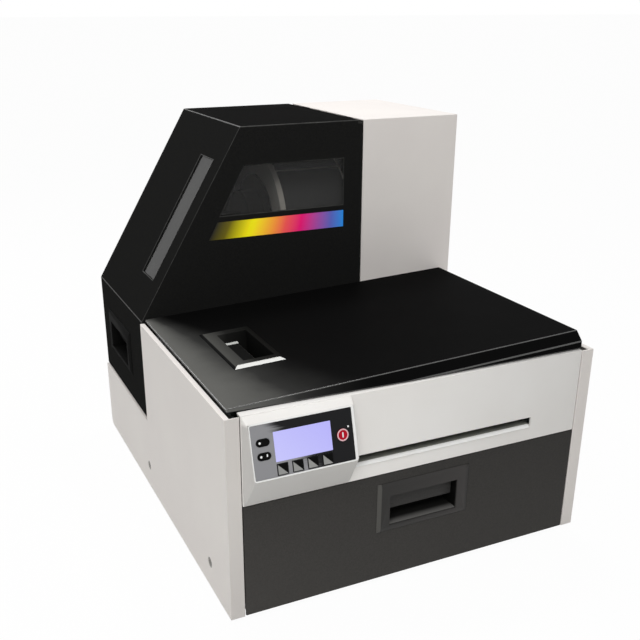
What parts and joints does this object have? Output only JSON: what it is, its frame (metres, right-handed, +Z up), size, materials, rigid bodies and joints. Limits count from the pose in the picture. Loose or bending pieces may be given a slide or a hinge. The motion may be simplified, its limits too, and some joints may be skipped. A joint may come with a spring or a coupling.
{
  "type": "digital label press",
  "caption": "Desktop colour label press with a roll tower under a windowed hood, a hinged top cover, an ink door and a tilted control pod.",
  "frame": {"origin": "middle of the footprint, on the surface that the feet stand on", "axes": "+X to the right seen from the front, +Y from the front to the back, +Z up"},
  "size_m": [0.48, 0.584, 0.501],
  "materials": {
    "white_panel": "smooth satin powder coat, warm white",
    "white_plastic": "moulded ABS, warm white",
    "grey_panel": "satin powder coat, light grey",
    "black_paint": "fine satin black powder coat",
    "dark_paint": "satin dark grey paint",
    "black_plastic": "moulded ABS, black",
    "smoked_acrylic": "smoked acrylic sheet",
    "colour_film": "printed film, blended process colours",
    "overlay_film": "glossy printed polycarbonate overlay",
    "display_glass": "lit display with a lavender backlight",
    "key_plastic": "moulded key caps, black",
    "red_plastic": "moulded key cap, red",
    "zinc_steel": "zinc plated sheet steel",
    "bright_steel": "ground steel",
    "aluminium": "milled aluminium",
    "rubber": "moulded rubber",
    "brass": "turned brass",
    "gear_plastic": "natural acetal",
    "paper": "wound label stock",
    "cardboard": "wound cardboard tube",
    "board": "green solder mask on fibreglass",
    "ink_cyan": "moulded tank, cyan",
    "ink_magenta": "moulded tank, magenta",
    "ink_yellow": "moulded tank, yellow",
    "ink_black": "moulded tank, black"
  },
  "bodies": {
    "body": {"chassis": "zinc_steel", "engine_frame": "zinc_steel", "left_side_panel": "white_panel", "right_side_panel": "white_panel", "front_fascia": "white_plastic", "rear_panel": "grey_panel", "tower_housing": "white_panel", "roll_bay_wall": "dark_paint", "roll_bay_floor": "dark_paint", "feet": "rubber", "panel_screws": "bright_steel", "door_hinge_pins": "bright_steel", "top_cover_hinge_pins": "bright_steel", "media_cover_hinge_pins": "bright_steel", "control_pod": "white_plastic", "control_overlay": "overlay_film", "lcd_module": "display_glass", "control_board": "board", "spindle_bearing": "aluminium", "printhead": "black_plastic", "platen": "aluminium", "feed_motor": "zinc_steel", "ink_rack": "black_plastic", "main_board": "board", "power_supply": "zinc_steel", "fan_frame": "black_plastic", "power_inlet": "black_plastic"},
    "door": {"front_door": "dark_paint", "door_latch_cup": "black_plastic"},
    "door_pull": {"door_flap": "black_plastic"},
    "lid": {"top_cover": "black_paint", "top_cover_cup": "black_plastic"},
    "lid_pull": {"top_cover_flap": "black_plastic"},
    "hood": {"media_cover": "black_paint", "media_cover_cup": "black_plastic", "front_window": "smoked_acrylic", "strip_window": "smoked_acrylic", "colour_band": "colour_film"},
    "hood_pull": {"media_cover_flap": "black_plastic"},
    "roll": {"label_roll": "paper", "roll_core": "cardboard", "spindle": "aluminium", "roll_flange": "black_plastic"},
    "feed": {"feed_roller": "rubber", "feed_gear": "gear_plastic"},
    "pinch": {"pinch_roller": "rubber"},
    "pinion": {"motor_pinion": "brass"},
    "fan": {"fan_rotor": "black_plastic"},
    "power_key": {"power_button": "red_plastic"},
    "menu_up": {"menu_key_upper": "key_plastic"},
    "menu_down": {"menu_key_lower": "key_plastic"},
    "soft_1": {"soft_key_1": "key_plastic"},
    "soft_2": {"soft_key_2": "key_plastic"},
    "soft_3": {"soft_key_3": "key_plastic"},
    "soft_4": {"soft_key_4": "key_plastic"},
    "tank_1": {"ink_tank_1": "ink_cyan"},
    "tank_2": {"ink_tank_2": "ink_magenta"},
    "tank_3": {"ink_tank_3": "ink_yellow"},
    "tank_4": {"ink_tank_4": "ink_black"},
    "tank_5": {"ink_tank_5": "ink_black"}
  },
  "joints": [
    {"name": "door_hinge", "type": "hinge", "parent": "body", "child": "door", "pos_m": [0, -0.258, 0.018], "axis": [1, 0, 0], "range_deg": [0, 90]},
    {"name": "door_pull_hinge", "type": "hinge", "parent": "door", "child": "door_pull", "pos_m": [0.0045, -0.2575, 0.1156], "axis": [-1, 0, 0], "range_deg": [0, 25], "stiffness_Nm_per_rad": 0.02, "springref_deg": -20.05},
    {"name": "lid_hinge", "type": "hinge", "parent": "body", "child": "lid", "pos_m": [0.2271, -0.095, 0.2615], "axis": [0, 1, 0], "range_deg": [0, 75]},
    {"name": "lid_pull_hinge", "type": "hinge", "parent": "lid", "child": "lid_pull", "pos_m": [-0.16669, -0.101, 0.25304], "axis": [0, -1, 0], "range_deg": [0, 25], "stiffness_Nm_per_rad": 0.02, "springref_deg": -20.05},
    {"name": "hood_hinge", "type": "hinge", "parent": "body", "child": "hood", "pos_m": [0.085, 0.1735, 0.4975], "axis": [0, 1, 0], "range_deg": [0, 75]},
    {"name": "hood_pull_hinge", "type": "hinge", "parent": "hood", "child": "hood_pull", "pos_m": [-0.227, 0.1885, 0.1976], "axis": [0, 1, 0], "range_deg": [0, 25], "stiffness_Nm_per_rad": 0.02, "springref_deg": -20.05},
    {"name": "roll_spin", "type": "hinge", "parent": "body", "child": "roll", "pos_m": [0.03, 0.174, 0.351], "axis": [1, 0, 0], "continuous": true},
    {"name": "feed_spin", "type": "hinge", "parent": "body", "child": "feed", "pos_m": [0.03, -0.198, 0.166], "axis": [1, 0, 0], "continuous": true},
    {"name": "pinch_spin", "type": "hinge", "parent": "body", "child": "pinch", "pos_m": [0.03, -0.198, 0.1828], "axis": [1, 0, 0], "continuous": true},
    {"name": "pinion_spin", "type": "hinge", "parent": "body", "child": "pinion", "pos_m": [0.17, -0.17852, 0.19139], "axis": [1, 0, 0], "continuous": true},
    {"name": "fan_spin", "type": "hinge", "parent": "body", "child": "fan", "pos_m": [-0.06, 0.272, 0.128], "axis": [0, 1, 0], "continuous": true},
    {"name": "soft_key_1_press", "type": "slide", "parent": "body", "child": "soft_1", "axis": [0, 0.9651, -0.2617], "range_m": [0, 0.0008], "stiffness_N_per_m": 300},
    {"name": "soft_key_2_press", "type": "slide", "parent": "body", "child": "soft_2", "axis": [0, 0.9651, -0.2617], "range_m": [0, 0.0008], "stiffness_N_per_m": 300},
    {"name": "soft_key_3_press", "type": "slide", "parent": "body", "child": "soft_3", "axis": [0, 0.9651, -0.2617], "range_m": [0, 0.0008], "stiffness_N_per_m": 300},
    {"name": "soft_key_4_press", "type": "slide", "parent": "body", "child": "soft_4", "axis": [0, 0.9651, -0.2617], "range_m": [0, 0.0008], "stiffness_N_per_m": 300},
    {"name": "power_press", "type": "slide", "parent": "body", "child": "power_key", "axis": [0, 0.9651, -0.2617], "range_m": [0, 0.0008], "stiffness_N_per_m": 300},
    {"name": "menu_upper_press", "type": "slide", "parent": "body", "child": "menu_up", "axis": [0, 0.9651, -0.2617], "range_m": [0, 0.0008], "stiffness_N_per_m": 300},
    {"name": "menu_lower_press", "type": "slide", "parent": "body", "child": "menu_down", "axis": [0, 0.9651, -0.2617], "range_m": [0, 0.0008], "stiffness_N_per_m": 300},
    {"name": "tank_1_slide", "type": "slide", "parent": "body", "child": "tank_1", "axis": [0, -1, 0], "range_m": [0, 0.02]},
    {"name": "tank_2_slide", "type": "slide", "parent": "body", "child": "tank_2", "axis": [0, -1, 0], "range_m": [0, 0.02]},
    {"name": "tank_3_slide", "type": "slide", "parent": "body", "child": "tank_3", "axis": [0, -1, 0], "range_m": [0, 0.02]},
    {"name": "tank_4_slide", "type": "slide", "parent": "body", "child": "tank_4", "axis": [0, -1, 0], "range_m": [0, 0.02]},
    {"name": "tank_5_slide", "type": "slide", "parent": "body", "child": "tank_5", "axis": [0, -1, 0], "range_m": [0, 0.02]}
  ],
  "couplings": [
    {"joint": "pinch_spin", "follows": "feed_spin", "ratio": -1.2},
    {"joint": "pinion_spin", "follows": "feed_spin", "ratio": -3}
  ]
}
